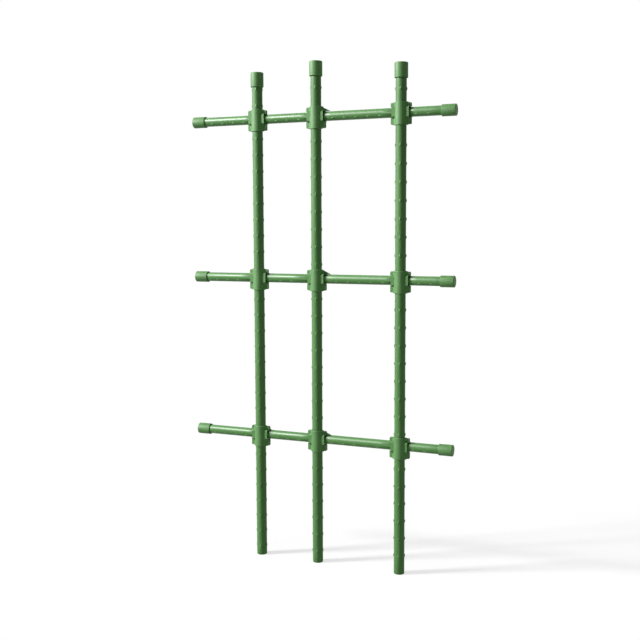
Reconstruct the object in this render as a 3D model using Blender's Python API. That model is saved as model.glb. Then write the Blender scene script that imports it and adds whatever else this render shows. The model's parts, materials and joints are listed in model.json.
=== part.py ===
"""Climbing plant support: three coated steel stakes, three coated rails and nine two-part connectors.

Metres, +Z up. The rails run along X, the front is -Y and Z = 0 is the ground line,
where the stakes are cut. Each connector is a front shell with a tall sleeve for the
stake and a rear shell that closes the rail in from behind. Each rail is pressed
into a saddle behind each stake, so that its axis can lie close to the stakes' plane.
"""

import math

import bmesh
import bpy
from mathutils import Vector

# Stakes: coated steel tubes, cut open at the ground line
STAKE_DIAMETER = 0.0110
STAKE_COAT = 0.0006
STAKE_TUBE_WALL = 0.0006
BOND_GAP = 0.00005
MIDDLE_STAKE_X = -0.0012
LEFT_SPACING = 0.0670
RIGHT_SPACING = 0.0916
OUTER_STAKE_RISE = 0.0468
MIDDLE_STAKE_RISE = 0.0541

# Rails: coated steel tubes of one piece, behind the stakes
RAIL_DIAMETER = 0.0096
RAIL_WALL = 0.0011
RAIL_LENGTH = 0.2890
RAIL_SETBACK = 0.0030
LOWER_RAIL_HEIGHT = 0.1343
LOWER_PANEL = 0.1708
UPPER_PANEL = 0.1673
PRESSED_THICKNESS = 0.0030
SADDLE_SPREAD = 0.0019

# Oval warts of the coats, in four rows
WART_LENGTH = 0.0042
WART_HEIGHT = 0.0008
STAKE_WART_PITCH = (0.0170, 0.0181, 0.0183)
RAIL_WART_PITCH = 0.0127
STAKE_WART_START = (0.0100, 0.0127, 0.0010)
RAIL_WART_START = (0.0078, 0.0132, 0.0094)
STAKE_TURN = (15.0, 18.0, -76.0)
RAIL_TURN = (76.0, 33.0, 37.0)

# Caps
STAKE_CAP_LENGTH = 0.0150
STAKE_CAP_WALL = 0.0010
RAIL_CAP_LENGTH = 0.0145
RAIL_CAP_WALL = 0.00075
CAP_END = 0.0012
CAP_ROUND = 0.0009
CAP_LIP = 0.0003

# Connectors
PLATE_WIDTH = 0.0212
PLATE_HEIGHT = 0.0213
FRONT_PLATE = 0.00155
REAR_PLATE = 0.00155
PLATE_CORNER = 0.0012
PART_LINE_Y = 0.00055
SLEEVE_WALL = 0.00065
SLEEVE_NOSE = 0.0023
SLEEVE_HEIGHT = 0.0227
SLEEVE_EDGE = 0.0006
COLLAR_LENGTH = 0.0196
COLLAR_WALL = 0.00065
COLLAR_FACE = 0.0015
COLLAR_CHAMFER = 0.0013
COLLAR_RISE = 0.0014
BOSS_WALL = 0.0008
BOSS_CHAMFER = 0.0018
NOTCH = 0.0022
TONGUE_REACH = 0.0042
TONGUE_TIP = 0.0004
PEG_RADIUS = 0.0008
PEG_LENGTH = 0.0010
PEG_EDGE = 0.0020

# Fits
CLEARANCE = 0.0003

# Facets
TUBE_COLUMNS = 12
CAP_SIDES = 14
BORE_SIDES = 12
SLEEVE_STEPS = 8
PEG_SIDES = 6
CORNER_STEPS = 2

# Colours (linear) and finishes
GREEN_COAT = (0.095, 0.245, 0.070, 1.0)
GREEN_PLASTIC = (0.090, 0.240, 0.066, 1.0)
STEEL = (0.46, 0.47, 0.47, 1.0)

# Values that follow from the sizes above
STAKE_R = STAKE_DIAMETER / 2
RAIL_R = RAIL_DIAMETER / 2
STAKE_BORE = STAKE_R + CLEARANCE
RAIL_BORE = RAIL_R + CLEARANCE
SLEEVE_R = STAKE_BORE + SLEEVE_WALL
COLLAR_HALF = RAIL_BORE + COLLAR_WALL
STAKE_POSITIONS = {
    "left": MIDDLE_STAKE_X - LEFT_SPACING,
    "middle": MIDDLE_STAKE_X,
    "right": MIDDLE_STAKE_X + RIGHT_SPACING,
}
CENTRE_RAIL_HEIGHT = LOWER_RAIL_HEIGHT + LOWER_PANEL
UPPER_RAIL_HEIGHT = CENTRE_RAIL_HEIGHT + UPPER_PANEL
STAKE_LENGTHS = {
    "left": UPPER_RAIL_HEIGHT + OUTER_STAKE_RISE,
    "middle": UPPER_RAIL_HEIGHT + MIDDLE_STAKE_RISE,
    "right": UPPER_RAIL_HEIGHT + OUTER_STAKE_RISE,
}
RAIL_HEIGHTS = {
    "lower": LOWER_RAIL_HEIGHT,
    "centre": CENTRE_RAIL_HEIGHT,
    "upper": UPPER_RAIL_HEIGHT,
}
REAR_LINE_Y = PART_LINE_Y + CLEARANCE
SADDLE_FLANK = 0.73 * STAKE_R
SADDLE_END = STAKE_R + SADDLE_SPREAD
BIG = 0.1


def clear_scene():
    for obj in list(bpy.data.objects):
        bpy.data.objects.remove(obj, do_unlink=True)


def material(name, colour, roughness, metallic=0.0):
    made = bpy.data.materials.new(name)
    made.use_nodes = True
    shader = made.node_tree.nodes["Principled BSDF"]
    shader.inputs["Base Color"].default_value = colour
    shader.inputs["Roughness"].default_value = roughness
    shader.inputs["Metallic"].default_value = metallic
    made.diffuse_color = colour
    return made


def finish_mesh(name, bm):
    """Turns a closed bmesh into a mesh with its faces pointing out and smooth round sides."""
    bmesh.ops.recalc_face_normals(bm, faces=bm.faces)
    mesh = bpy.data.meshes.new(name)
    bm.to_mesh(mesh)
    bm.free()
    mesh.shade_smooth()
    mesh.set_sharp_from_angle(angle=math.radians(35))
    return mesh


def place(name, mesh, location, rotation=(0.0, 0.0, 0.0), parent=None, look=None):
    """Adds one named object. Its own material goes on the object, so a mesh can be shared."""
    obj = bpy.data.objects.new(name, mesh)
    bpy.context.scene.collection.objects.link(obj)
    obj.location = location
    obj.rotation_euler = rotation
    obj.parent = parent
    if not mesh.materials:
        mesh.materials.append(None)
    colour, roughness, metallic = look
    obj.material_slots[0].link = "OBJECT"
    obj.material_slots[0].material = material(name + "_look", colour, roughness, metallic)
    return obj


def pivot(name, location, parent=None):
    empty = bpy.data.objects.new(name, None)
    bpy.context.scene.collection.objects.link(empty)
    empty.empty_display_size = 0.01
    empty.location = location
    empty.parent = parent
    return empty


# Tubes


def zip_columns(bm, left, right):
    """Fills the strip between two columns of (distance, vertex), whatever their stations."""
    i = j = 0
    while i < len(left) - 1 or j < len(right) - 1:
        next_left = left[i + 1][0] if i < len(left) - 1 else math.inf
        next_right = right[j + 1][0] if j < len(right) - 1 else math.inf
        level = abs(next_left - next_right) < 1e-7
        if level:
            go_left = left[i][0] <= right[j][0]
        else:
            go_left = next_left < next_right
        if go_left:
            bm.faces.new((left[i][1], left[i + 1][1], right[j][1]))
            i += 1
        else:
            bm.faces.new((left[i][1], right[j + 1][1], right[j][1]))
            j += 1


def tube_mesh(name, length, point, wall, stations=(), warts=(), turn=0.0):
    """A tube with a through bore. point(distance, angle, depth) gives a place in its skin."""
    bm = bmesh.new()
    outer = []
    inner = []
    common = [0.0, *stations, length]
    for column in range(TUBE_COLUMNS):
        angle = math.radians(turn) + 2 * math.pi * column / TUBE_COLUMNS
        row = [(s, 0.0) for s in common]
        if column % 3 == 0:
            for s in warts:
                row += [(s - WART_LENGTH / 2, 0.0), (s, WART_HEIGHT), (s + WART_LENGTH / 2, 0.0)]
        else:
            row += [(s, 0.0) for s in warts]
        row.sort()
        outer.append([(s, bm.verts.new(point(s, angle, lift))) for s, lift in row])
        inner.append([(s, bm.verts.new(point(s, angle, -wall))) for s in common])
    for column in range(TUBE_COLUMNS):
        after = (column + 1) % TUBE_COLUMNS
        zip_columns(bm, outer[column], outer[after])
        zip_columns(bm, inner[after], inner[column])
        for end in (0, -1):
            ring = [outer[column][end][1], outer[after][end][1]]
            ring += [inner[after][end][1], inner[column][end][1]]
            bm.faces.new(ring)
    return finish_mesh(name, bm)


def round_point(radius):
    """The skin of a straight round tube along Z."""

    def point(s, angle, depth):
        r = radius + depth
        return Vector((r * math.cos(angle), r * math.sin(angle), s))

    return point


def saddle(offset):
    """Centre, half depth and half height of a rail's section at this distance from a stake."""
    u = abs(offset)
    share = 0.5 * (1 + math.cos(math.pi * min(u / SADDLE_END, 1.0)))
    deepest = STAKE_R + 3 * CLEARANCE - RAIL_SETBACK
    rear = RAIL_R + share * (deepest + PRESSED_THICKNESS - RAIL_R)
    if u > SADDLE_END - 1e-6:
        front = -RAIL_R
    elif u > 1e-6:
        front = math.sqrt(STAKE_BORE**2 - u * u) + CLEARANCE - RAIL_SETBACK
    else:
        front = deepest
    thickness = rear - front
    height = RAIL_R + (2 * RAIL_R - thickness) * (math.pi - 2) / 4
    return (rear + front) / 2, thickness / 2, height


def rail_stations():
    """Distances along the rail at which its section changes, with each one's offset."""
    steps = (SADDLE_FLANK, SADDLE_END)
    found = []
    for x in STAKE_POSITIONS.values():
        centre = x + RAIL_LENGTH / 2
        found += [centre + side * step for step in steps for side in (-1, 1)]
        found.append(centre)
    return sorted(found)


def rail_point(s, angle, depth):
    """The skin of a rail along X, from its left end."""
    nearest = min((s - RAIL_LENGTH / 2 - x for x in STAKE_POSITIONS.values()), key=abs)
    centre, half_depth, half_height = saddle(nearest)
    y = centre + (half_depth + depth) * math.cos(angle)
    z = (half_height + depth) * math.sin(angle)
    return Vector((s - RAIL_LENGTH / 2, y, z))


def wart_rows(start, pitch, length, cap, keep_out):
    """Wart places along a tube that clear the cap and every (place, half width) kept free."""
    margin = WART_LENGTH / 2 + CLEARANCE
    found = []
    s = start
    while s < length - cap - margin:
        if s > margin and all(abs(s - place) > half + margin for place, half in keep_out):
            found.append(s)
        s += pitch
    return found


# Caps


def cap_mesh(name, bore, wall, length):
    """A cap along Z, open at Z = 0, with a rounded closed end."""
    radius = bore + wall
    rounding = min(CAP_ROUND, wall * 0.9)
    profile = [(bore, length - CAP_END), (bore, 0.0), (radius - CAP_LIP, 0.0), (radius, CAP_LIP)]
    for k in range(CORNER_STEPS + 1):
        a = math.pi / 2 * k / CORNER_STEPS
        r = radius - rounding + rounding * math.cos(a)
        profile.append((r, length - rounding + rounding * math.sin(a)))
    bm = bmesh.new()
    rings = []
    for r, z in profile:
        ring = []
        for k in range(CAP_SIDES):
            a = 2 * math.pi * k / CAP_SIDES
            ring.append(bm.verts.new((r * math.cos(a), r * math.sin(a), z)))
        rings.append(ring)
    for low, high in zip(rings, rings[1:]):
        for k in range(CAP_SIDES):
            n = (k + 1) % CAP_SIDES
            bm.faces.new((low[k], low[n], high[n], high[k]))
    bm.faces.new(rings[0])
    bm.faces.new(rings[-1])
    return finish_mesh(name, bm)


# Connectors


def prism(name, outline, low, high, axis):
    """A closed prism: outline points in the plane across axis, from low to high along it."""
    bm = bmesh.new()
    ends = []
    for level in (low, high):
        ring = []
        for p, q in outline:
            spot = {"X": (level, p, q), "Y": (p, level, q), "Z": (p, q, level)}[axis]
            ring.append(bm.verts.new(spot))
        ends.append(ring)
    count = len(outline)
    for k in range(count):
        n = (k + 1) % count
        bm.faces.new((ends[0][k], ends[0][n], ends[1][n], ends[1][k]))
    bm.faces.new(ends[0])
    bm.faces.new(ends[1])
    bmesh.ops.recalc_face_normals(bm, faces=bm.faces)
    return bm


def helper(name, bm):
    """A guide solid that is only used to build a shell."""
    mesh = bpy.data.meshes.new(name)
    bm.to_mesh(mesh)
    bm.free()
    obj = bpy.data.objects.new(name, mesh)
    bpy.context.scene.collection.objects.link(obj)
    obj.hide_render = True
    obj.display_type = "WIRE"
    return obj


def combine(name, base, steps):
    """Joins and cuts guide solids one after another and returns the resulting mesh."""
    for operation, other in steps:
        modifier = base.modifiers.new(operation, "BOOLEAN")
        modifier.operation = operation
        modifier.solver = "EXACT"
        modifier.object = other
    bpy.context.view_layer.update()
    graph = bpy.context.evaluated_depsgraph_get()
    mesh = bpy.data.meshes.new_from_object(base.evaluated_get(graph))
    for other in [base] + [other for _, other in steps]:
        bpy.data.objects.remove(other, do_unlink=True)
    bm = bmesh.new()
    bm.from_mesh(mesh)
    bmesh.ops.remove_doubles(bm, verts=bm.verts, dist=1e-6)
    bmesh.ops.triangulate(bm, faces=bm.faces)
    mesh = finish_mesh(name, bm)
    mesh.materials.clear()
    return mesh


def rounded_outline(width, height, corner, centre_z):
    found = []
    for k, (sx, sz) in enumerate(((1, 1), (-1, 1), (-1, -1), (1, -1))):
        for step in range(CORNER_STEPS + 1):
            a = math.pi / 2 * (k + step / CORNER_STEPS)
            x = sx * (width / 2 - corner) + corner * math.cos(a)
            z = sz * (height / 2 - corner) + corner * math.sin(a)
            found.append((x, z + centre_z))
    return found


def circle(radius, centre_p, centre_q, sides):
    """A polygon whose flats stand at this radius."""
    r = radius / math.cos(math.pi / sides)
    angles = [2 * math.pi * (k + 0.5) / sides for k in range(sides)]
    return [(centre_p + r * math.cos(a), centre_q + r * math.sin(a)) for a in angles]


def chamfered(near, far, half_height, chamfer):
    """A block's section in Y and Z, chamfered on its far side."""
    turn = chamfer if far > near else -chamfer
    return [
        (near, half_height),
        (far - turn, half_height),
        (far, half_height - chamfer),
        (far, chamfer - half_height),
        (far - turn, -half_height),
        (near, -half_height),
    ]


def soften_rims(bm, height, edge, keep_y):
    """Rounds a sleeve's top and bottom rims, but not the edge on the parting side."""
    rims = []
    for e in bm.edges:
        flat = all(abs(abs(v.co.z - COLLAR_CENTRE) - height / 2) < 1e-7 for v in e.verts)
        same = abs(e.verts[0].co.z - e.verts[1].co.z) < 1e-7
        on_back = all(abs(v.co.y - keep_y) < 1e-7 for v in e.verts)
        if flat and same and not on_back:
            rims.append(e)
    bmesh.ops.bevel(bm, geom=rims, offset=edge, segments=1, profile=0.5, affect="EDGES")
    return bm


# The shells are built about the rail's height, so the plate's middle lies below it
COLLAR_CENTRE = -COLLAR_RISE
PEG_X = PLATE_WIDTH / 2 - PEG_EDGE
PEG_Z = PLATE_HEIGHT / 2 - PEG_EDGE
PEG_PLACES = ((-PEG_X, COLLAR_CENTRE + PEG_Z), (PEG_X, COLLAR_CENTRE - PEG_Z))
PLATE_TOP = COLLAR_CENTRE + PLATE_HEIGHT / 2


def front_shell(has_tongue):
    """The front half. On the middle stake its plate steps back above the rail, for the tongue."""
    plate = rounded_outline(PLATE_WIDTH, PLATE_HEIGHT, PLATE_CORNER, COLLAR_CENTRE)
    front_y = PART_LINE_Y - FRONT_PLATE
    over = PART_LINE_Y + CLEARANCE
    base = helper("plate", prism("plate", plate, front_y, over, "Y"))
    arc = [math.pi * (1 + k / SLEEVE_STEPS) for k in range(SLEEVE_STEPS + 1)]
    nose = [(SLEEVE_R * math.cos(a), SLEEVE_R * math.sin(a) - SLEEVE_NOSE) for a in arc]
    nose += [(SLEEVE_R, over), (-SLEEVE_R, over)]
    top = COLLAR_CENTRE + SLEEVE_HEIGHT / 2
    bottom = COLLAR_CENTRE - SLEEVE_HEIGHT / 2
    sleeve = prism("sleeve", nose, bottom, top, "Z")
    sleeve = helper("sleeve", soften_rims(sleeve, SLEEVE_HEIGHT, SLEEVE_EDGE, over))
    face_y = RAIL_SETBACK - RAIL_BORE - COLLAR_FACE
    section = chamfered(over, face_y, COLLAR_HALF, COLLAR_CHAMFER)
    collar = helper("collar", prism("collar", section, -COLLAR_LENGTH / 2, COLLAR_LENGTH / 2, "X"))
    stake = helper("stake", prism("stake", circle(STAKE_BORE, 0, 0, BORE_SIDES), -BIG, BIG, "Z"))
    rail_hole = circle(RAIL_BORE, RAIL_SETBACK, 0, BORE_SIDES)
    rail = helper("rail", prism("rail", rail_hole, -BIG, BIG, "X"))
    behind = [(-BIG, -BIG), (BIG, -BIG), (BIG, BIG), (-BIG, BIG)]
    behind = helper("behind", prism("behind", behind, PART_LINE_Y, BIG, "Y"))
    steps = [("UNION", sleeve), ("UNION", collar)]
    steps += [("DIFFERENCE", stake), ("DIFFERENCE", rail), ("DIFFERENCE", behind)]
    for k, (x, z) in enumerate(PEG_PLACES):
        hole = circle(PEG_RADIUS + CLEARANCE, x, z, PEG_SIDES)
        hole = helper(f"hole_{k}", prism("hole", hole, PART_LINE_Y - PEG_LENGTH, BIG, "Y"))
        steps.append(("DIFFERENCE", hole))
    if has_tongue:
        inner = PLATE_WIDTH / 2 - NOTCH
        notch = [(inner, COLLAR_HALF + CLEARANCE), (BIG, COLLAR_HALF + CLEARANCE)]
        notch += [(BIG, BIG), (inner, BIG)]
        steps.append(("DIFFERENCE", helper("notch", prism("notch", notch, -BIG, BIG, "Y"))))
    return combine("connector_front", base, steps)


def rear_shell(has_tongue):
    """The rear half. On the middle stake it has a tongue that slopes down onto the right rail."""
    plate = rounded_outline(PLATE_WIDTH, PLATE_HEIGHT, PLATE_CORNER, COLLAR_CENTRE)
    rear_y = REAR_LINE_Y + REAR_PLATE
    under = REAR_LINE_Y - CLEARANCE
    base = helper("plate", prism("plate", plate, under, rear_y, "Y"))
    arc = [math.pi * k / SLEEVE_STEPS for k in range(SLEEVE_STEPS + 1)]
    hump = [(SLEEVE_R * math.cos(a), max(SLEEVE_R * math.sin(a), under)) for a in arc]
    bottom = COLLAR_CENTRE - PLATE_HEIGHT / 2
    hump = [p for k, p in enumerate(hump) if k == 0 or p != hump[k - 1]]
    hump = helper("hump", prism("hump", hump, bottom, PLATE_TOP, "Z"))
    back_y = RAIL_SETBACK + RAIL_BORE + COLLAR_WALL
    section = chamfered(under, back_y, COLLAR_HALF, COLLAR_CHAMFER)
    collar = helper("collar", prism("collar", section, -COLLAR_LENGTH / 2, COLLAR_LENGTH / 2, "X"))
    centre, half_depth, half_height = saddle(0)
    pocket_back = RAIL_SETBACK + centre + half_depth + CLEARANCE
    pocket_half = half_height + CLEARANCE
    pocket_x = SADDLE_END + CLEARANCE / 2
    boss_x = pocket_x + BOSS_WALL
    section = chamfered(under, pocket_back + BOSS_WALL, pocket_half + BOSS_WALL, BOSS_CHAMFER)
    boss = helper("boss", prism("boss", section, -boss_x, boss_x, "X"))
    pocket = [(-BIG, pocket_half), (pocket_back, pocket_half)]
    pocket += [(pocket_back, -pocket_half), (-BIG, -pocket_half)]
    pocket = helper("pocket", prism("pocket", pocket, -pocket_x, pocket_x, "X"))
    stake = helper("stake", prism("stake", circle(STAKE_BORE, 0, 0, BORE_SIDES), -BIG, BIG, "Z"))
    seat = [p for p in circle(RAIL_BORE, RAIL_SETBACK, 0, BORE_SIDES) if p[0] > RAIL_SETBACK + 1e-6]
    seat.sort(key=lambda p: p[1])
    # Straight lips in front of the rail's widest line, so that the shell can come off
    seat += [(RAIL_SETBACK, RAIL_BORE), (-BIG, RAIL_BORE)]
    seat += [(-BIG, -RAIL_BORE), (RAIL_SETBACK, -RAIL_BORE)]
    rail = helper("rail", prism("rail", seat, -BIG, BIG, "X"))
    ahead = [(-BIG, -BIG), (BIG, -BIG), (BIG, BIG), (-BIG, BIG)]
    ahead = helper("ahead", prism("ahead", ahead, -BIG, REAR_LINE_Y, "Y"))
    steps = [("UNION", hump), ("UNION", collar), ("UNION", boss)]
    if has_tongue:
        tip = PLATE_WIDTH / 2 + TONGUE_REACH
        low = RAIL_BORE + TONGUE_TIP
        slope = [(SLEEVE_R, PLATE_TOP), (tip, low), (BIG, low), (BIG, BIG), (SLEEVE_R, BIG)]
        slope = helper("slope", prism("slope", slope, -BIG, BIG, "Y"))
        tongue = [(0, 0), (tip, 0), (tip, low), (SLEEVE_R, PLATE_TOP), (0, PLATE_TOP)]
        tongue = helper("tongue", prism("tongue", tongue, under, rear_y, "Y"))
        steps += [("DIFFERENCE", slope), ("UNION", tongue)]
    steps += [("DIFFERENCE", stake), ("DIFFERENCE", rail), ("DIFFERENCE", pocket)]
    steps.append(("DIFFERENCE", ahead))
    for k, (x, z) in enumerate(PEG_PLACES):
        peg = circle(PEG_RADIUS, x, z, PEG_SIDES)
        middle = REAR_LINE_Y + REAR_PLATE / 2
        peg = helper(f"peg_{k}", prism("peg", peg, REAR_LINE_Y - PEG_LENGTH, middle, "Y"))
        steps.append(("UNION", peg))
    return combine("connector_rear", base, steps)


# Assembly


def build():
    clear_scene()
    coat_look = (GREEN_COAT, 0.38, 0.0)
    plastic_look = (GREEN_PLASTIC, 0.42, 0.0)
    steel_look = (STEEL, 0.35, 1.0)
    half_sleeve = SLEEVE_HEIGHT / 2
    root = pivot("trellis", (0.0, 0.0, 0.0))

    bore = STAKE_R - STAKE_COAT
    stake_cap = cap_mesh("stake_cap", STAKE_BORE, STAKE_CAP_WALL, STAKE_CAP_LENGTH)
    rail_cap = cap_mesh("rail_cap", RAIL_BORE, RAIL_CAP_WALL, RAIL_CAP_LENGTH)
    sleeves = [(z - COLLAR_RISE, half_sleeve) for z in RAIL_HEIGHTS.values()]
    for k, (side, x) in enumerate(STAKE_POSITIONS.items()):
        length = STAKE_LENGTHS[side]
        foot = pivot(f"stake_{side}", (x, 0.0, 0.0), root)
        start = STAKE_WART_START[k]
        pitch = STAKE_WART_PITCH[k]
        inside = STAKE_CAP_LENGTH - CAP_END - CLEARANCE
        warts = wart_rows(start, pitch, length, inside, sleeves)
        point = round_point(STAKE_R)
        mesh = tube_mesh(
            f"stake_{side}_coat", length, point, STAKE_COAT, warts=warts, turn=STAKE_TURN[k]
        )
        place(f"stake_{side}_coat", mesh, (0, 0, 0), parent=foot, look=coat_look)
        point = round_point(bore - BOND_GAP)
        mesh = tube_mesh(
            f"stake_{side}_tube", length, point, STAKE_TUBE_WALL, turn=STAKE_TURN[k]
        )
        place(f"stake_{side}_tube", mesh, (0, 0, 0), parent=foot, look=steel_look)
        seat = length + CLEARANCE + CAP_END - STAKE_CAP_LENGTH
        place(f"stake_{side}_cap", stake_cap, (0, 0, seat), parent=foot, look=plastic_look)

    fronts = {side: front_shell(side == "middle") for side in ("left", "middle")}
    rears = {side: rear_shell(side == "middle") for side in ("left", "middle")}
    rail_look = (GREEN_COAT, 0.36, 0.0)
    inside = RAIL_CAP_LENGTH - CAP_END - CLEARANCE
    crossings = []
    for side, x in STAKE_POSITIONS.items():
        reach = TONGUE_REACH if side == "middle" else 0.0
        crossings.append((x + RAIL_LENGTH / 2, PLATE_WIDTH / 2 + reach))
    for k, (name, z) in enumerate(RAIL_HEIGHTS.items()):
        axis = pivot(f"rail_{name}_axis", (0.0, RAIL_SETBACK, z), root)
        start = inside + RAIL_WART_START[k]
        warts = wart_rows(start, RAIL_WART_PITCH, RAIL_LENGTH, inside, crossings)
        mesh = tube_mesh(
            f"rail_{name}",
            RAIL_LENGTH,
            rail_point,
            RAIL_WALL,
            rail_stations(),
            warts,
            RAIL_TURN[k],
        )
        place(f"rail_{name}", mesh, (0, 0, 0), parent=axis, look=rail_look)
        reach = RAIL_LENGTH / 2 + CLEARANCE + CAP_END - RAIL_CAP_LENGTH
        turn = math.pi / 2
        place(
            f"rail_{name}_cap_left",
            rail_cap,
            (-reach, 0, 0),
            (0, -turn, 0),
            axis,
            plastic_look,
        )
        place(
            f"rail_{name}_cap_right",
            rail_cap,
            (reach, 0, 0),
            (0, turn, 0),
            axis,
            plastic_look,
        )
        for side, x in STAKE_POSITIONS.items():
            spot = f"{name}_{side}"
            kind = "middle" if side == "middle" else "left"
            front = fronts[kind]
            place(f"front_shell_{spot}", front, (x, 0, z), parent=root, look=plastic_look)
            place(
                f"rear_shell_{spot}",
                rears[kind],
                (x, -RAIL_SETBACK, 0),
                parent=axis,
                look=plastic_look,
            )


build()
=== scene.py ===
"""Looks of the climbing plant support: fine pieces, floor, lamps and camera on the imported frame.

Metres, +Z up, front at -Y, in the frame's own coordinates. Every CAD node has one finer
piece that stands for it: tubes with their warts, lathed caps and the connectors' shells.
"""

import json
import math

import bmesh
import bpy
from mathutils import Matrix, Vector

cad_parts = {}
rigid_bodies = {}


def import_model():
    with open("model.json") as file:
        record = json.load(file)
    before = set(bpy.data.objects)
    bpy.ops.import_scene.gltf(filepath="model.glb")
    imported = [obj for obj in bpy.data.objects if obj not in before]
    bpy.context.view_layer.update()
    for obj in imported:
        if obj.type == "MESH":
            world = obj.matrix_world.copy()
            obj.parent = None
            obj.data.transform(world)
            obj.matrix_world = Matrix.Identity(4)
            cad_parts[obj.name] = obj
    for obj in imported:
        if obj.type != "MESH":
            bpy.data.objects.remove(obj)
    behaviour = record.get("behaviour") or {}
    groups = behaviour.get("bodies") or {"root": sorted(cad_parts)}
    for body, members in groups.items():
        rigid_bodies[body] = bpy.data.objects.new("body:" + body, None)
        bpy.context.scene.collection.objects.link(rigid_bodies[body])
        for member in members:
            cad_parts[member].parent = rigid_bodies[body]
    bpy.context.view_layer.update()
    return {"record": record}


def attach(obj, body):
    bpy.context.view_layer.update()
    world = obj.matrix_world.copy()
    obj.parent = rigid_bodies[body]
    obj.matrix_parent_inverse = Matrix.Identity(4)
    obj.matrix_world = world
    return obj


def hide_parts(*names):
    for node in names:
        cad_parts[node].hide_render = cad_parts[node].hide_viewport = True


CLEARANCE = 0.0003

# Stakes: coated steel tubes, cut open at the ground line
STAKES = {"left": -0.0682, "middle": -0.0012, "right": 0.0904}
STAKE_LENGTHS = {"left": 0.5192, "middle": 0.5265, "right": 0.5192}
STAKE_R = 0.0055
STAKE_COAT = 0.0006
STEEL_WALL = 0.0006
BOND_GAP = 0.00005
STAKE_BORE = STAKE_R + CLEARANCE

# Rails: coated steel tubes, pressed into a saddle behind each stake
RAILS = {"lower": 0.1343, "centre": 0.3051, "upper": 0.4724}
RAIL_LENGTH = 0.2890
RAIL_R = 0.0048
RAIL_WALL = 0.0011
RAIL_SETBACK = 0.0030
RAIL_BORE = RAIL_R + CLEARANCE
PRESSED_THICKNESS = 0.0030
SADDLE_FLANK = 0.73 * STAKE_R
SADDLE_END = STAKE_R + 0.0019
SADDLE_STEPS = 12

# Oval warts of the coats, in four rows. Turns are in degrees: a stake's from +X, a rail's from +Y
WART_LENGTH = 0.0042
WART_DOME = 1.4
STAKE_WART_WIDTH = 0.0026
STAKE_WART_RISE = {"left": 0.0005, "middle": 0.0005, "right": 0.0007}
STAKE_PITCH = {"left": 0.0170, "middle": 0.0181, "right": 0.0183}
STAKE_START = {"left": 0.0100, "middle": 0.0127, "right": 0.0010}
STAKE_TURN = {"left": 15.0, "middle": 18.0, "right": -76.0}
RAIL_WART_WIDTH = 0.0019
# The second row faces the lamps and is nearly flat, as the gloss is smooth there
RAIL_WART_RISES = (0.0004, 0.00001, 0.0005, 0.0004)
RAIL_PITCH = 0.0127
RAIL_START = {"lower": 0.0078, "centre": 0.0132, "upper": 0.0094}
RAIL_TURN = {"lower": 31.0, "centre": 33.0, "upper": 33.0}

# Mesh of a tube: columns in degrees from a row of warts, rings in half lengths of a wart
FINE_COLUMNS = [2.5 * k for k in range(-6, 7)]
COARSE_COLUMNS = [25, 35, 45, 55, 65]
WART_RINGS = [-1.0, -0.96, -0.86, -0.7, -0.5, -0.25, 0.0, 0.25, 0.5, 0.7, 0.86, 0.96, 1.0]
END_EDGE = 0.0002
END_DROP = 0.0001
RING_GAP = 0.00004

# Caps: (length, wall) of each size, and their ends and mouths
STAKE_CAP = (0.0150, 0.0010)
RAIL_CAP = (0.0145, 0.00075)
CAP_END = 0.0012
CAP_ROUND = 0.0009
CAP_LIP = 0.0003
CAP_MOUTH_WALL = 0.00035
CAP_MOUTH_DEPTH = 0.0018
CAP_BORE_START = 0.0026

# Connectors, about the point where the stake's axis passes the rail's height
PLATE = (0.0212, 0.0213)
PLATE_T = 0.00155
PLATE_CORNER = 0.0012
PLATE_EDGE = 0.00025
PART_Y = 0.00055
REAR_Y = PART_Y + CLEARANCE
COLLAR_RISE = 0.0014
CENTRE = -COLLAR_RISE
PLATE_TOP = CENTRE + PLATE[1] / 2
PLATE_BOTTOM = CENTRE - PLATE[1] / 2
SLEEVE_WALL = 0.00065
SLEEVE_R = STAKE_BORE + SLEEVE_WALL
SLEEVE_FOOT = 0.0016
SLEEVE_ARC_GAP = 0.0002
SLEEVE_HEIGHT = 0.0227
SLEEVE_TOP = CENTRE + SLEEVE_HEIGHT / 2
SLEEVE_BOTTOM = CENTRE - SLEEVE_HEIGHT / 2
SLEEVE_EDGE = 0.0006
SLEEVE_LIP = 0.0003
SLEEVE_MOUTH = 0.0004
SLEEVE_MOUTH_DEPTH = 0.0016
COLLAR_LENGTH = 0.0181
COLLAR_WALL = 0.00065
COLLAR_HALF = RAIL_BORE + COLLAR_WALL
COLLAR_FACE = 0.0015
COLLAR_CHAMFER = 0.0013
COLLAR_EDGE = 0.00022
COLLAR_HOLLOW = 0.0016
REAR_COLLAR_HALF = 0.0049
BOSS_WALL = 0.0008
BOSS_CHAMFER = 0.0018
BOSS_EDGE = 0.0004
BOSS_SLANT = (0.00205, 0.0042)
POCKET_SIDE = 0.0035
POCKET_BEND = (0.0005, 0.0023)
POCKET_FLAT = 0.0043
NOTCH = 0.0022
TONGUE_REACH = 0.0042
TONGUE_TIP = 0.0004
TONGUE_EDGE = 0.0003
PEG_R = 0.0008
PEG_LENGTH = 0.0010
PEG_INSET = 0.0020
PEG_SIDES = 20
PEG_X = PLATE[0] / 2 - PEG_INSET
PEG_Z = PLATE[1] / 2 - PEG_INSET
PEGS = ((-PEG_X, CENTRE + PEG_Z), (PEG_X, CENTRE - PEG_Z))

# Solid modelling: a length past every connector, tolerances, and the least angle of a sharp edge
BIG = 0.1
MERGED = 1e-7
ON_PLANE = 1e-6
SHARP_ANGLE = math.radians(20)

# Looks: colour, and the scales of the noise in a plastic
GREEN = (0.095, 0.245, 0.070)
NOISE_MIDDLE = (0.3, 0.7)
NOISE_ROUGHNESS = 0.55
CLOUDS = 60.0
PATCHES = 140.0
WAVES = 260.0
WAVE_DEPTH = 0.00004
GRAIN = 2600.0

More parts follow.
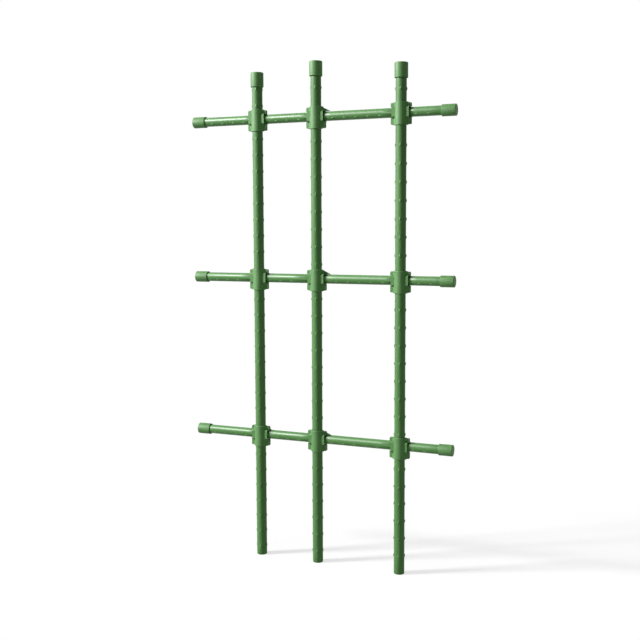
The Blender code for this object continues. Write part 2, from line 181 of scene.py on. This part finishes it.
# Floor and light
FLOOR_COLOUR = 0.33
FLOOR_WHITE = 1.005
FLOOR_REACH = 14.0
FLOOR_DROP = 0.0002
WORLD_LEVEL = 0.09
AIM = (0, 0, 0.27)

# Camera, from the photograph's perspective
CAMERA_PLACE = (0.3781, -0.9018, 0.3637)
CAMERA_YAW = 22.62
CAMERA_PITCH = 5.94
CAMERA_ROLL = -0.244
CAMERA_LENS = 52.605
SENSOR_WIDTH = 36.0


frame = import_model()
scene = bpy.context.scene
scene.view_settings.view_transform = "Standard"
bodies = frame["record"]["behaviour"]["bodies"]
body_of = {node: body for body, nodes in bodies.items() for node in nodes}


# Materials


class Shader:
    """A Principled material that is built up node by node."""

    def __init__(self, name, colour, roughness, metallic=0.0):
        self.material = bpy.data.materials.new(name)
        self.material.use_nodes = True
        self.tree = self.material.node_tree
        self.main = self.tree.nodes["Principled BSDF"]
        self.main.inputs["Base Color"].default_value = (*colour, 1.0)
        self.main.inputs["Roughness"].default_value = roughness
        self.main.inputs["Metallic"].default_value = metallic
        self.coords = self.node("ShaderNodeTexCoord").outputs["Object"]

    def node(self, kind, **inputs):
        made = self.tree.nodes.new(kind)
        for key, value in inputs.items():
            socket = made.inputs[key]
            if hasattr(value, "is_output"):
                self.tree.links.new(value, socket)
            else:
                socket.default_value = value
        return made

    def stretched(self, scale):
        made = self.node("ShaderNodeMapping", Vector=self.coords)
        made.inputs["Scale"].default_value = scale
        return made.outputs["Vector"]

    def noise(self, scale, detail=3.0, vector=None):
        made = self.node(
            "ShaderNodeTexNoise",
            Scale=scale,
            Detail=detail,
            Roughness=NOISE_ROUGHNESS,
            Vector=self.coords if vector is None else vector,
        )
        return made.outputs["Fac"]

    def span(self, value, low, high):
        """Maps a texture's middle range to low..high."""
        made = self.node("ShaderNodeMapRange", Value=value)
        numbers = (*NOISE_MIDDLE, low, high)
        for key, number in zip(("From Min", "From Max", "To Min", "To Max"), numbers):
            made.inputs[key].default_value = number
        return made.outputs["Result"]

    def colour_between(self, factor, low, high):
        ramp = self.node("ShaderNodeValToRGB", Fac=factor)
        for stop, position, colour in zip(ramp.color_ramp.elements, NOISE_MIDDLE, (low, high)):
            stop.position = position
            stop.color = (*colour, 1.0)
        self.use("Base Color", ramp.outputs["Color"])

    def bump(self, height, distance, strength, before=None):
        made = self.node("ShaderNodeBump", Height=height)
        made.inputs["Distance"].default_value = distance
        made.inputs["Strength"].default_value = strength
        if before is not None:
            self.tree.links.new(before, made.inputs["Normal"])
        return made.outputs["Normal"]

    def use(self, socket, output):
        self.tree.links.new(output, self.main.inputs[socket])


def shade(colour, factor):
    return tuple(c * factor for c in colour)


def plastic(name, colour, roughness, grain, shine, along=(1.0, 1.0, 1.0)):
    """Satin polyethylene: faint clouds in its colour, uneven gloss and a fine skin."""
    made = Shader(name, colour, roughness)
    made.main.inputs["IOR"].default_value = 1.5
    made.main.inputs["Specular IOR Level"].default_value = shine
    slow = made.stretched(along)
    clouds = made.noise(CLOUDS, 4.0, slow)
    made.colour_between(clouds, shade(colour, 0.93), shade(colour, 1.07))
    patches = made.noise(PATCHES, 3.0, slow)
    made.use("Roughness", made.span(patches, roughness - 0.04, roughness + 0.05))
    waves = made.bump(made.noise(WAVES, 2.0, slow), WAVE_DEPTH, 0.6)
    made.use("Normal", made.bump(made.noise(GRAIN), grain, 0.5, waves))
    return made.material


def brushed_steel():
    """Bare steel with fine lines along the tube."""
    made = Shader("stake_steel_look", (0.46, 0.47, 0.47), 0.35, 1.0)
    lines = made.noise(900.0, 4.0, made.stretched((1.0, 1.0, 0.03)))
    made.colour_between(made.noise(150.0), (0.40, 0.41, 0.42), (0.52, 0.53, 0.52))
    made.use("Roughness", made.span(lines, 0.27, 0.45))
    made.use("Normal", made.bump(lines, 0.00002, 0.7))
    return made.material


coat_look = plastic("stake_coat_look", GREEN, 0.58, 0.00001, 0.20, (1.0, 1.0, 0.25))
rail_look = plastic("rail_coat_look", shade(GREEN, 1.15), 0.42, 0.00001, 0.26, (0.25, 1.0, 1.0))
cap_look = plastic("cap_look", shade(GREEN, 1.10), 0.58, 0.000015, 0.29)
shell_look = plastic("connector_look", shade(GREEN, 1.10), 0.60, 0.00002, 0.29)
steel_look = brushed_steel()


# Making pieces


def smooth(mesh, angle=40.0):
    mesh.shade_smooth()
    mesh.set_sharp_from_angle(angle=math.radians(angle))
    return mesh


def add(name, mesh, look, node, place=(0, 0, 0), turn=(0, 0, 0)):
    """Adds one piece that stands for a CAD node and rides on that node's body."""
    piece = bpy.data.objects.new(name, mesh)
    scene.collection.objects.link(piece)
    piece.location = place
    piece.rotation_euler = turn
    if not mesh.materials:
        mesh.materials.append(look)
    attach(piece, body_of[node])
    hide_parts(node)
    return piece


# Tubes with warts


class Warts:
    """Four rows of oval warts on a tube, at the same distances along it in every row."""

    def __init__(self, radius, places, width, rises):
        self.radius, self.places, self.width, self.rises = radius, places, width, rises

    def lift(self, s, row, offset):
        """How far they raise the skin at distance s and offset degrees from a row."""
        across = math.radians(offset) * self.radius / (self.width / 2)
        if abs(across) >= 1:
            return 0.0
        for place in self.places:
            d = ((s - place) / (WART_LENGTH / 2)) ** 2 + across**2
            if d < 1:
                return self.rises[row] * (1 - d) ** WART_DOME
        return 0.0


def wart_places(start, pitch, length, cap, keep_out):
    """Distances of warts that clear the cap and every (place, half width) kept free."""
    margin = WART_LENGTH / 2 + CLEARANCE
    found = []
    s = start
    while s < length - cap - margin:
        if s > margin and all(abs(s - place) > half + margin for place, half in keep_out):
            found.append(s)
        s += pitch
    return found


def ring_places(length, warts, stations):
    """Distances of a tube's rings: its ends, the stations and the steps over each wart."""
    rings = {0.0, END_EDGE, length - END_EDGE, length, *stations}
    for place in warts.places if warts else ():
        rings.update(place + t * WART_LENGTH / 2 for t in WART_RINGS)
    rings = sorted(rings)
    kept = [rings[0]]
    for s in rings[1:]:
        if s - kept[-1] > RING_GAP:
            kept.append(s)
    return kept


def tube(name, length, skin, wall, turn, warts=None, stations=()):
    """A tube with a bore. skin(s, angle, depth) gives its points, and stations are extra rings."""
    columns = [(row, offset) for row in range(4) for offset in FINE_COLUMNS + COARSE_COLUMNS]
    angles = [math.radians(turn + 90 * row + offset) for row, offset in columns]
    count = len(columns)
    outside = ring_places(length, warts, stations)
    inside = sorted({0.0, length, *stations})
    points = []
    for s in outside:
        depth = -END_DROP if s < END_DROP or s > length - END_DROP else 0.0
        for (row, offset), angle in zip(columns, angles):
            lift = warts.lift(s, row, offset) if warts else 0.0
            points.append(skin(s, angle, lift + depth))
    start = len(points)
    points += [skin(s, angle, -wall) for s in inside for angle in angles]
    faces = []

    def band(first, second):
        for k in range(count):
            n = (k + 1) % count
            faces.append((first + k, first + n, second + n, second + k))

    for ring in range(len(outside) - 1):
        band(ring * count, (ring + 1) * count)
    for ring in range(len(inside) - 1):
        band(start + (ring + 1) * count, start + ring * count)
    band(start, 0)
    band((len(outside) - 1) * count, start + (len(inside) - 1) * count)
    mesh = bpy.data.meshes.new(name)
    mesh.from_pydata(points, [], faces)
    mesh.validate()
    return smooth(mesh)


def round_skin(radius):
    def skin(s, angle, depth):
        r = radius + depth
        return (r * math.cos(angle), r * math.sin(angle), s)

    return skin


def pressed(u):
    """Front and rear of a rail's section at this distance from a stake, about the rail's axis."""
    share = 0.5 * (1 + math.cos(math.pi * min(u / SADDLE_END, 1.0)))
    deepest = STAKE_R + 3 * CLEARANCE - RAIL_SETBACK
    rear = RAIL_R + share * (deepest + PRESSED_THICKNESS - RAIL_R)
    flank = math.sqrt(STAKE_BORE**2 - SADDLE_FLANK**2) + CLEARANCE - RAIL_SETBACK
    if u <= SADDLE_FLANK:
        front = math.sqrt(STAKE_BORE**2 - u * u) + CLEARANCE - RAIL_SETBACK
    else:
        t = min((u - SADDLE_FLANK) / (SADDLE_END - SADDLE_FLANK), 1.0)
        front = flank + (-RAIL_R - flank) * t * t * (3 - 2 * t)
    return front, rear


def pressed_half_height(thickness):
    """Half height of a rail's section that keeps the length round it as it is pressed."""
    return RAIL_R + (2 * RAIL_R - thickness) * (math.pi - 2) / 4


def rail_skin(s, angle, depth):
    x = s - RAIL_LENGTH / 2
    front, rear = pressed(min(abs(x - stake) for stake in STAKES.values()))
    thickness = rear - front
    y = (rear + front) / 2 + (thickness / 2 + depth) * math.cos(angle)
    return (x, y, (pressed_half_height(thickness) + depth) * math.sin(angle))


def build_stakes():
    """A coat with its warts, and the steel tube inside it, for each stake."""
    cap = STAKE_CAP[0] - CAP_END - CLEARANCE
    bore = STAKE_R - STAKE_COAT - BOND_GAP
    sleeves = [(z - COLLAR_RISE, SLEEVE_HEIGHT / 2) for z in RAILS.values()]
    for side, x in STAKES.items():
        length, turn = STAKE_LENGTHS[side], STAKE_TURN[side]
        places = wart_places(STAKE_START[side], STAKE_PITCH[side], length, cap, sleeves)
        warts = Warts(STAKE_R, places, STAKE_WART_WIDTH, [STAKE_WART_RISE[side]] * 4)
        mesh = tube(f"coat_{side}", length, round_skin(STAKE_R), STAKE_COAT, turn, warts)
        add(f"coat_{side}", mesh, coat_look, f"stake_{side}_coat", (x, 0, 0))
        mesh = tube(f"steel_{side}", length, round_skin(bore), STEEL_WALL, turn)
        add(f"steel_{side}", mesh, steel_look, f"stake_{side}_tube", (x, 0, 0))


def build_rails():
    """One coated tube for each rail, with extra rings over its three saddles."""
    cap = RAIL_CAP[0] - CAP_END - CLEARANCE
    spread = [k * SADDLE_END / SADDLE_STEPS for k in range(-SADDLE_STEPS, SADDLE_STEPS + 1)]
    stations = []
    crossings = []
    for side, x in STAKES.items():
        middle = x + RAIL_LENGTH / 2
        reach = TONGUE_REACH if side == "middle" else 0.0
        crossings.append((middle, PLATE[0] / 2 + reach))
        stations += [middle + distance for distance in spread]
    for name, z in RAILS.items():
        places = wart_places(cap + RAIL_START[name], RAIL_PITCH, RAIL_LENGTH, cap, crossings)
        warts = Warts(RAIL_R, places, RAIL_WART_WIDTH, RAIL_WART_RISES)
        piece = f"rail_tube_{name}"
        mesh = tube(piece, RAIL_LENGTH, rail_skin, RAIL_WALL, RAIL_TURN[name], warts, stations)
        add(piece, mesh, rail_look, f"rail_{name}", (0, RAIL_SETBACK, z))


# Caps


def lathe(name, profile, sides=72):
    """A closed form turned about Z from (radius, z) points, with flat ends."""
    points = []
    faces = []
    for r, z in profile:
        for k in range(sides):
            a = 2 * math.pi * k / sides
            points.append((r * math.cos(a), r * math.sin(a), z))
    for ring in range(len(profile) - 1):
        for k in range(sides):
            n = (k + 1) % sides
            first, second = ring * sides, (ring + 1) * sides
            faces.append((first + k, first + n, second + n, second + k))
    faces.append(tuple(range(sides))[::-1])
    faces.append(tuple(range((len(profile) - 1) * sides, len(profile) * sides)))
    mesh = bpy.data.meshes.new(name)
    mesh.from_pydata(points, [], faces)
    bm = bmesh.new()
    bm.from_mesh(mesh)
    bmesh.ops.recalc_face_normals(bm, faces=bm.faces)
    bm.to_mesh(mesh)
    bm.free()
    return smooth(mesh, 50.0)


def cap_mesh(name, bore, size):
    """A moulded cap along Z, open at Z = 0, with a rounded end and a wider mouth."""
    length, wall = size
    radius = bore + wall
    rounding = min(CAP_ROUND, wall * 0.9)
    mouth = radius - CAP_MOUTH_WALL
    inner_end = length - CAP_END
    profile = [(bore * 0.5, inner_end), (bore, inner_end), (bore, CAP_BORE_START)]
    profile += [(mouth, CAP_MOUTH_DEPTH), (mouth, 0.0)]
    for k in range(5):
        a = math.pi / 2 * (k / 4 - 1)
        r = radius - CAP_LIP + CAP_LIP * math.cos(a)
        profile.append((r, CAP_LIP + CAP_LIP * math.sin(a)))
    for k in range(9):
        a = math.pi / 2 * k / 8
        r = radius - rounding + rounding * math.cos(a)
        profile.append((r, length - rounding + rounding * math.sin(a)))
    profile.append((radius * 0.5, length))
    return lathe(name, profile)


def build_caps():
    stake_cap = cap_mesh("stake_cap", STAKE_BORE, STAKE_CAP)
    rail_cap = cap_mesh("rail_cap", RAIL_BORE, RAIL_CAP)
    for side, x in STAKES.items():
        seat = STAKE_LENGTHS[side] + CLEARANCE + CAP_END - STAKE_CAP[0]
        node = f"stake_{side}_cap"
        add(f"stake_end_{side}", stake_cap, cap_look, node, (x, 0, seat))
    reach = RAIL_LENGTH / 2 + CLEARANCE + CAP_END - RAIL_CAP[0]
    for name, z in RAILS.items():
        for side, sign in (("left", -1), ("right", 1)):
            place = (sign * reach, RAIL_SETBACK, z)
            turn = (0, sign * math.pi / 2, 0)
            node = f"rail_{name}_cap_{side}"
            add(f"rail_end_{name}_{side}", rail_cap, cap_look, node, place, turn)


# Solid modelling


def softened(bm, edges, size, segments):
    bmesh.ops.bevel(bm, geom=edges, offset=size, segments=segments, profile=0.5, affect="EDGES")
    bmesh.ops.remove_doubles(bm, verts=bm.verts, dist=MERGED)
    return bm


def sharp_edges(bm, keep):
    """Edges to soften: all the sharp ones but those whose ends both pass keep."""
    edges = [e for e in bm.edges if e.calc_face_angle(0) > SHARP_ANGLE]
    return [e for e in edges if not all(keep(v.co) for v in e.verts)]


def sliced(bm, point, normal):
    """Takes off what lies beyond a plane and closes the cut."""
    every = bm.verts[:] + bm.edges[:] + bm.faces[:]
    cut_away = bmesh.ops.bisect_plane(
        bm, geom=every, plane_co=point, plane_no=normal, clear_outer=True
    )["geom_cut"]
    rim = [e for e in cut_away if isinstance(e, bmesh.types.BMEdge)]
    bmesh.ops.edgeloop_fill(bm, edges=rim)
    bmesh.ops.recalc_face_normals(bm, faces=bm.faces)


def prism(outline, low, high, axis, soften=0.0, segments=2, keep=None):
    """A closed prism over an outline. Soften, if given, rounds its sharp edges, as keep allows."""
    bm = bmesh.new()
    ends = []
    for level in (low, high):
        ring = []
        for p, q in outline:
            spot = {"X": (level, p, q), "Y": (p, level, q), "Z": (p, q, level)}[axis]
            ring.append(bm.verts.new(spot))
        ends.append(ring)
    count = len(outline)
    for k in range(count):
        n = (k + 1) % count
        bm.faces.new((ends[0][k], ends[0][n], ends[1][n], ends[1][k]))
    bm.faces.new(ends[0])
    bm.faces.new(ends[1])
    bmesh.ops.recalc_face_normals(bm, faces=bm.faces)
    if soften:
        softened(bm, sharp_edges(bm, keep), soften, segments)
    return bm


def helper(bm):
    """An object for one step of combine, in triangles, because a bevel leaves uneven faces."""
    bmesh.ops.triangulate(bm, faces=bm.faces[:])
    mesh = bpy.data.meshes.new("helper")
    bm.to_mesh(mesh)
    bm.free()
    made = bpy.data.objects.new("helper", mesh)
    scene.collection.objects.link(made)
    return made


def join(bm):
    return ("UNION", helper(bm))


def cut(outline, axis, low=-BIG, high=BIG):
    return ("DIFFERENCE", helper(prism(outline, low, high, axis)))


def combine(name, first, steps):
    """Joins helpers to a first form and cuts it with them, one by one, and returns the mesh."""
    base = helper(first)
    for operation, other in steps:
        modifier = base.modifiers.new(operation, "BOOLEAN")
        modifier.operation = operation
        modifier.solver = "EXACT"
        modifier.object = other
    bpy.context.view_layer.update()
    graph = bpy.context.evaluated_depsgraph_get()
    mesh = bpy.data.meshes.new_from_object(base.evaluated_get(graph))
    mesh.name = name
    for other in [base] + [other for _, other in steps]:
        bpy.data.objects.remove(other, do_unlink=True)
    mesh.materials.clear()
    bm = bmesh.new()
    bm.from_mesh(mesh)
    bmesh.ops.remove_doubles(bm, verts=bm.verts, dist=MERGED)
    bm.to_mesh(mesh)
    bm.free()
    return smooth(mesh, 32.0)


# Outlines


def rounded_outline(width, height, corner, centre, steps=6):
    found = []
    for k, (sx, sz) in enumerate(((1, 1), (-1, 1), (-1, -1), (1, -1))):
        for step in range(steps + 1):
            a = math.pi / 2 * (k + step / steps)
            x = sx * (width / 2 - corner) + corner * math.cos(a)
            z = sz * (height / 2 - corner) + corner * math.sin(a)
            found.append((x, z + centre))
    return found


def circle(radius, p, q, sides=64):
    angles = [2 * math.pi * (k + 0.5) / sides for k in range(sides)]
    return [(p + radius * math.cos(a), q + radius * math.sin(a)) for a in angles]


def chamfered(near, far, half, chamfer):
    """A bar's section from near to far, with its two far corners cut off."""
    turn = chamfer if far > near else -chamfer
    return [
        (near, half),
        (far - turn, half),
        (far, half - chamfer),
        (far, chamfer - half),
        (far - turn, -half),
        (near, -half),
    ]


def box_outline(p0, p1, q0, q1):
    return [(p0, q0), (p1, q0), (p1, q1), (p0, q1)]


# Connectors


def past_front(co):
    """Behind the front shell's parting face, where a later cut takes everything off."""
    return co.y > PART_Y


def past_rear(co):
    """Ahead of the rear shell's parting face, where a later cut takes everything off."""
    return co.y < REAR_Y


def plate(low, high, past):
    outline = rounded_outline(*PLATE, PLATE_CORNER, CENTRE)
    return prism(outline, low, high, "Y", PLATE_EDGE, 2, past)


def collar(near, far, half_height, past):
    section = chamfered(near, far, half_height, COLLAR_CHAMFER)
    return prism(section, -COLLAR_LENGTH / 2, COLLAR_LENGTH / 2, "X", COLLAR_EDGE, 2, past)


def sleeve(front, over):
    """The front shell's tall round sleeve, with feet that run out into the plate."""
    foot = front - SLEEVE_FOOT
    arc = [math.pi * (1 + k / 48) for k in range(49)]
    nose = [(SLEEVE_R * math.cos(a), SLEEVE_R * math.sin(a)) for a in arc]
    nose = [p for p in nose if p[1] < foot - SLEEVE_ARC_GAP]
    side = math.sqrt(SLEEVE_R**2 - foot**2)
    wide = side + SLEEVE_FOOT
    nose = [(-wide, front), (-side, foot)] + nose + [(side, foot), (wide, front)]
    nose += [(wide, over), (-wide, over)]
    made = prism(nose, SLEEVE_BOTTOM, SLEEVE_TOP, "Z")
    for level, size in ((SLEEVE_TOP, SLEEVE_EDGE), (SLEEVE_BOTTOM, SLEEVE_LIP)):
        rim = sharp_edges(made, past_front)
        rim = [e for e in rim if all(abs(v.co.z - level) < ON_PLANE for v in e.verts)]
        softened(made, rim, size, 4)
    return made


def front_shell(name, has_tongue):
    over = PART_Y + CLEARANCE
    front = PART_Y - PLATE_T
    face = RAIL_SETBACK - RAIL_BORE - COLLAR_FACE
    hollow = chamfered(BIG, face + COLLAR_WALL, COLLAR_HALF - COLLAR_WALL, COLLAR_CHAMFER * 0.9)
    hollow_end = COLLAR_LENGTH / 2 - COLLAR_HOLLOW
    mouth = circle(STAKE_BORE + SLEEVE_MOUTH, 0, 0)
    steps = [
        join(sleeve(front, over)),
        join(collar(over, face, COLLAR_HALF, past_front)),
        cut(circle(STAKE_BORE, 0, 0), "Z"),
        cut(circle(RAIL_BORE, RAIL_SETBACK, 0), "X"),
        cut(hollow, "X", -BIG, -hollow_end),
        cut(hollow, "X", hollow_end, BIG),
        cut(box_outline(-BIG, BIG, -BIG, BIG), "Y", PART_Y, BIG),
        cut(mouth, "Z", -BIG, SLEEVE_BOTTOM + SLEEVE_MOUTH_DEPTH),
    ]
    for x, z in PEGS:
        hole = circle(PEG_R + CLEARANCE, x, z, PEG_SIDES)
        steps.append(cut(hole, "Y", PART_Y - PEG_LENGTH, BIG))
    if has_tongue:
        inner = PLATE[0] / 2 - NOTCH
        steps.append(cut(box_outline(inner, BIG, COLLAR_HALF + CLEARANCE, BIG), "Y"))
    return combine(name, plate(front, over, past_front), steps)


def hump(under):
    """The rear shell's half round behind the stake."""
    arc = [math.pi * k / 40 for k in range(41)]
    outline = [(SLEEVE_R * math.cos(a), SLEEVE_R * math.sin(a)) for a in arc]
    outline = [p for p in outline if p[1] > under]
    edge = math.sqrt(SLEEVE_R**2 - under**2)
    outline = [(edge, under)] + outline + [(-edge, under)]
    return prism(outline, PLATE_BOTTOM, PLATE_TOP, "Z", BOSS_EDGE, 3, past_rear)


def boss(under, half_width, back, half_height):
    """The rear shell's box round a rail's saddle, with slanted corners."""
    made = prism(chamfered(under, back, half_height, BOSS_CHAMFER), -half_width, half_width, "X")
    inward, forward = BOSS_SLANT
    for sign in (-1, 1):
        sliced(made, (sign * half_width, back - forward, 0), (sign * forward, inward, 0))
    return softened(made, sharp_edges(made, past_rear), BOSS_EDGE, 3)


def pocket_outline(half_width, bottom, back):
    """The room for a rail's saddle inside the boss, open to the front."""
    inward, forward = POCKET_BEND
    side = [(half_width, -BIG), (half_width, back - POCKET_SIDE)]
    side += [(half_width - inward, back - forward), (POCKET_FLAT, bottom)]
    return [(-half_width, -BIG)] + side + [(-x, y) for x, y in reversed(side[1:])]


def seat_outline():
    """The half round that holds a rail from behind, open to the front."""
    seat = [p for p in circle(RAIL_BORE, RAIL_SETBACK, 0) if p[0] > RAIL_SETBACK + ON_PLANE]
    seat.sort(key=lambda p: p[1])
    seat += [(RAIL_SETBACK, RAIL_BORE), (-BIG, RAIL_BORE)]
    return seat + [(-BIG, -RAIL_BORE), (RAIL_SETBACK, -RAIL_BORE)]


def tongue_steps(under, back):
    """Cuts off what lies above the tongue's slope, then adds the tongue."""
    tip = PLATE[0] / 2 + TONGUE_REACH
    low = RAIL_BORE + TONGUE_TIP
    above = [(SLEEVE_R, PLATE_TOP), (tip, low), (BIG, low), (BIG, BIG), (SLEEVE_R, BIG)]
    tongue = [(0, 0), (tip, 0), (tip, low), (SLEEVE_R, PLATE_TOP), (0, PLATE_TOP)]
    return [cut(above, "Y"), join(prism(tongue, under, back, "Y", TONGUE_EDGE, 2, past_rear))]


def rear_shell(name, has_tongue):
    under = REAR_Y - CLEARANCE
    back = REAR_Y + PLATE_T
    saddle_front, saddle_rear = pressed(0.0)
    pocket_half_width = SADDLE_END + CLEARANCE / 2
    pocket_back = RAIL_SETBACK + saddle_rear + CLEARANCE
    pocket_half_height = pressed_half_height(saddle_rear - saddle_front) + CLEARANCE
    boss_half_width = pocket_half_width + BOSS_WALL
    boss_back = pocket_back + BOSS_WALL
    boss_half_height = pocket_half_height + BOSS_WALL
    pocket = pocket_outline(pocket_half_width, pocket_back, boss_back)
    collar_back = RAIL_SETBACK + RAIL_BORE + COLLAR_WALL
    steps = [
        join(hump(under)),
        join(boss(under, boss_half_width, boss_back, boss_half_height)),
        join(collar(under, collar_back, REAR_COLLAR_HALF, past_rear)),
    ]
    if has_tongue:
        steps += tongue_steps(under, back)
    steps += [
        cut(circle(STAKE_BORE, 0, 0), "Z"),
        cut(seat_outline(), "X"),
        cut(pocket, "Z", -pocket_half_height, pocket_half_height),
        cut(box_outline(-BIG, BIG, -BIG, BIG), "Y", -BIG, REAR_Y),
    ]
    for x, z in PEGS:
        peg = circle(PEG_R, x, z, PEG_SIDES)
        steps.append(join(prism(peg, REAR_Y - PEG_LENGTH, REAR_Y + PLATE_T / 2, "Y")))
    return combine(name, plate(under, back, past_rear), steps)


def build_connectors():
    """Two shells at each crossing. Those of the middle stake have the tongue and its notch."""
    meshes = {}
    for kind in ("plain", "tongued"):
        meshes["front", kind] = front_shell(f"front_{kind}", kind == "tongued")
        meshes["rear", kind] = rear_shell(f"rear_{kind}", kind == "tongued")
    for name, z in RAILS.items():
        for side, x in STAKES.items():
            kind = "tongued" if side == "middle" else "plain"
            for part in ("front", "rear"):
                mesh = meshes[part, kind]
                node = f"{part}_shell_{name}_{side}"
                piece_name = f"clip_{part}_{name}_{side}"
                piece = add(piece_name, mesh, shell_look, node, (x, 0, z))
                normals = piece.modifiers.new("even", "WEIGHTED_NORMAL")
                normals.keep_sharp = True


# Floor, world, lamps and camera


def maths(tree, operation, first, second):
    node = tree.nodes.new("ShaderNodeMath")
    node.operation = operation
    for socket, value in zip(node.inputs, (first, second)):
        if hasattr(value, "is_output"):
            tree.links.new(value, socket)
        else:
            socket.default_value = value
    return node.outputs["Value"]


class Lamp:
    """An area lamp, with the light that it gives the floor as a node chain."""

    def __init__(self, name, place, aim, size, watts, diffuse=True, glossy=True, only=()):
        self.place, self.watts, self.diffuse = Vector(place), watts, diffuse
        self.ahead = (Vector(aim) - self.place).normalized()
        data = bpy.data.lights.new(name, "AREA")
        data.shape = "RECTANGLE"
        data.size, data.size_y = size
        data.energy = watts
        made = bpy.data.objects.new(name, data)
        scene.collection.objects.link(made)
        made.location = place
        made.rotation_euler = (-self.ahead).to_track_quat("Z", "Y").to_euler()
        made.visible_diffuse = diffuse
        made.visible_glossy = glossy
        made.visible_camera = False
        if only:
            lit = bpy.data.collections.new(f"{name}_lights")
            for piece in scene.collection.objects:
                if piece.name.startswith(only):
                    lit.objects.link(piece)
            made.light_linking.receiver_collection = lit

    def on_floor(self, tree, position):
        """Light of a small lamp on the floor, as the share of white that a white floor shows.

        It is watts * height * along / (pi**2 * distance**4), along being the distance ahead.
        """

        def vector(operation, first, second):
            node = tree.nodes.new("ShaderNodeVectorMath")
            node.operation = operation
            tree.links.new(first, node.inputs[0])
            if second is not None:
                node.inputs[1].default_value = second
            return node.outputs["Value" if operation in ("DOT_PRODUCT", "LENGTH") else "Vector"]

        way = vector("SUBTRACT", position, tuple(self.place))
        along = vector("DOT_PRODUCT", way, tuple(self.ahead))
        distance = vector("LENGTH", way, None)
        level = maths(tree, "POWER", distance, 4.0)
        level = maths(tree, "DIVIDE", maths(tree, "MAXIMUM", along, 0.0), level)
        return maths(tree, "MULTIPLY", level, self.watts * self.place.z / math.pi**2)


def build_lamps():
    """A key from the left, two weak fills, and two lamps that give some pieces their gloss."""
    return [
        Lamp("key", (-1.73, -1.00, 1.42), AIM, (0.34, 0.34), 74.0, glossy=False),
        Lamp("top", (-0.20, -0.36, 1.60), AIM, (0.40, 0.40), 2.0, glossy=False),
        Lamp("low", (0.55, -0.45, 0.04), (0, 0, 0.22), (0.30, 0.10), 0.3, glossy=False),
        Lamp(
            "gloss",
            (-0.80, -0.91, 1.26),
            AIM,
            (0.28, 0.28),
            100.0,
            diffuse=False,
            only=("rail_tube",),
        ),
        Lamp(
            "sheen",
            (-1.73, -1.00, 1.30),
            AIM,
            (0.50, 0.50),
            235.0,
            diffuse=False,
            only=("coat", "clip", "stake_end", "rail_end"),
        ),
    ]


def backdrop_share(tree):
    """1 for the rays that show the backdrop: the camera's, mirrored and transmitted ones."""
    path = tree.nodes.new("ShaderNodeLightPath").outputs
    through = maths(tree, "MAXIMUM", path["Is Glossy Ray"], path["Is Transmission Ray"])
    return maths(tree, "MAXIMUM", path["Is Camera Ray"], through)


def floor_look(lamps):
    """Dull grey, with a glow that adds what the lamps and the world leave short of white."""
    material = bpy.data.materials.new("floor_look")
    material.use_nodes = True
    tree = material.node_tree
    tree.nodes.remove(tree.nodes["Principled BSDF"])
    diffuse = tree.nodes.new("ShaderNodeBsdfDiffuse")
    diffuse.inputs["Color"].default_value = (FLOOR_COLOUR, FLOOR_COLOUR, FLOOR_COLOUR, 1.0)
    position = tree.nodes.new("ShaderNodeNewGeometry").outputs["Position"]
    light = None
    for lamp in lamps:
        if lamp.diffuse:
            found = lamp.on_floor(tree, position)
            light = found if light is None else maths(tree, "ADD", light, found)
    rest = maths(tree, "MULTIPLY", maths(tree, "ADD", light, WORLD_LEVEL), -FLOOR_COLOUR)
    rest = maths(tree, "MAXIMUM", maths(tree, "ADD", rest, FLOOR_WHITE), 0.0)
    seen = backdrop_share(tree)
    glow = tree.nodes.new("ShaderNodeEmission")
    tree.links.new(maths(tree, "MULTIPLY", rest, seen), glow.inputs["Strength"])
    both = tree.nodes.new("ShaderNodeAddShader")
    tree.links.new(diffuse.outputs["BSDF"], both.inputs[0])
    tree.links.new(glow.outputs["Emission"], both.inputs[1])
    tree.links.new(both.outputs["Shader"], tree.nodes["Material Output"].inputs["Surface"])
    return material


def build_floor(lamps):
    """A pale floor that the camera sees as even white wherever nothing shades it."""
    mesh = bpy.data.meshes.new("floor")
    corners = box_outline(-FLOOR_REACH, FLOOR_REACH, -FLOOR_REACH, FLOOR_REACH)
    mesh.from_pydata([(x, y, 0) for x, y in corners], [], [(0, 1, 2, 3)])
    floor = bpy.data.objects.new("floor", mesh)
    scene.collection.objects.link(floor)
    floor.location = (0, 0, -FLOOR_DROP)
    mesh.materials.append(floor_look(lamps))


def build_world():
    """A dim even world that looks white to the camera."""
    world = bpy.data.worlds.new("studio")
    scene.world = world
    world.use_nodes = True
    tree = world.node_tree
    back = tree.nodes["Background"]
    back.inputs["Color"].default_value = (1, 1, 1, 1)
    seen = backdrop_share(tree)
    level = maths(tree, "MULTIPLY", seen, 1.0 - WORLD_LEVEL)
    tree.links.new(maths(tree, "ADD", level, WORLD_LEVEL), back.inputs["Strength"])


def build_camera():
    data = bpy.data.cameras.new("camera")
    data.lens = CAMERA_LENS
    data.sensor_width = SENSOR_WIDTH
    made = bpy.data.objects.new("camera", data)
    scene.collection.objects.link(made)
    yaw, pitch, roll = (math.radians(a) for a in (CAMERA_YAW, CAMERA_PITCH, CAMERA_ROLL))
    level = math.cos(pitch)
    right = Vector((math.cos(yaw), math.sin(yaw), 0))
    ahead = Vector((-math.sin(yaw) * level, math.cos(yaw) * level, -math.sin(pitch)))
    up = right.cross(ahead)
    turned_right = right * math.cos(roll) + up * math.sin(roll)
    turned_up = up * math.cos(roll) - right * math.sin(roll)
    axes = Matrix((turned_right, turned_up, -ahead)).transposed()
    made.matrix_world = Matrix.Translation(CAMERA_PLACE) @ axes.to_4x4()
    scene.camera = made


build_stakes()
build_rails()
build_caps()
build_connectors()
build_floor(build_lamps())
build_world()
build_camera()
